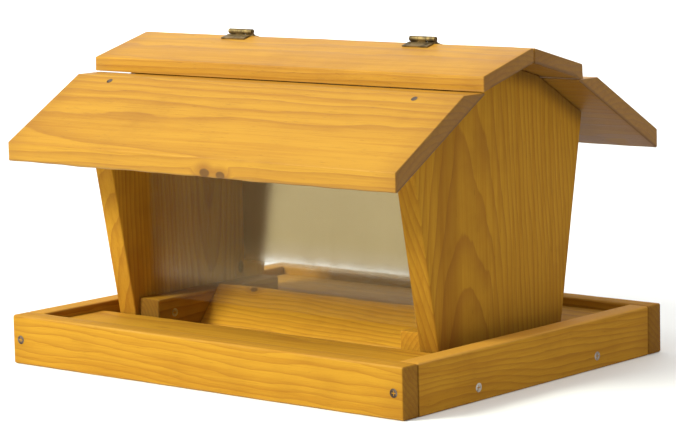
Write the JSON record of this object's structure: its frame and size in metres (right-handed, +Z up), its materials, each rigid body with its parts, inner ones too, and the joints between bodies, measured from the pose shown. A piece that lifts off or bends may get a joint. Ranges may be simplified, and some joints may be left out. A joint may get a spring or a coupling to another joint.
{
  "type": "hopper bird feeder",
  "caption": "Wooden table-style hopper bird feeder: railed seed tray, clear side panes, overhanging gambrel roof and a filling lid hinged along the ridge.",
  "frame": {"origin": "centre of the tray's underside, on the surface it rests on", "axes": "+X along the ridge towards the right end, -Y towards the front, +Z up"},
  "size_m": [0.406, 0.331, 0.2629],
  "materials": {
    "tray_wood": "satin stain",
    "panel_wood": "satin stain",
    "roof_wood": "satin stain",
    "clear_pane": "clear acrylic sheet",
    "hinge_brass": "dulled brass",
    "screw_steel": "zinc plated, dulled"
  },
  "bodies": {
    "feeder": {"base_board": "tray_wood", "front_rail": "tray_wood", "back_rail": "tray_wood", "left_rail": "tray_wood", "right_rail": "tray_wood", "front_landing_board": "tray_wood", "back_landing_board": "tray_wood", "left_end_panel": "panel_wood", "right_end_panel": "panel_wood", "left_cleat": "panel_wood", "right_cleat": "panel_wood", "front_ramp": "panel_wood", "back_ramp": "panel_wood", "front_lower_roof": "roof_wood", "back_lower_roof": "roof_wood", "back_upper_roof": "roof_wood", "front_window": "clear_pane", "back_window": "clear_pane", "left_hinge_fixed_leaf": "hinge_brass", "left_hinge_pin": "hinge_brass", "right_hinge_fixed_leaf": "hinge_brass", "right_hinge_pin": "hinge_brass", "rail_corner_screws": "screw_steel", "base_edge_screws": "screw_steel", "panel_foot_screws": "screw_steel", "cleat_screws": "screw_steel", "lower_roof_nails": "screw_steel", "upper_roof_nails": "screw_steel", "roof_hinge_screws": "hinge_brass"},
    "lid": {"lid": "roof_wood", "left_hinge_lid_leaf": "hinge_brass", "right_hinge_lid_leaf": "hinge_brass", "lid_hinge_screws": "hinge_brass"}
  },
  "joints": [
    {"name": "lid_hinge", "type": "hinge", "parent": "feeder", "child": "lid", "pos_m": [0, 0, 0.26073], "axis": [-1, 0, 0], "range_deg": [0, 213]}
  ]
}
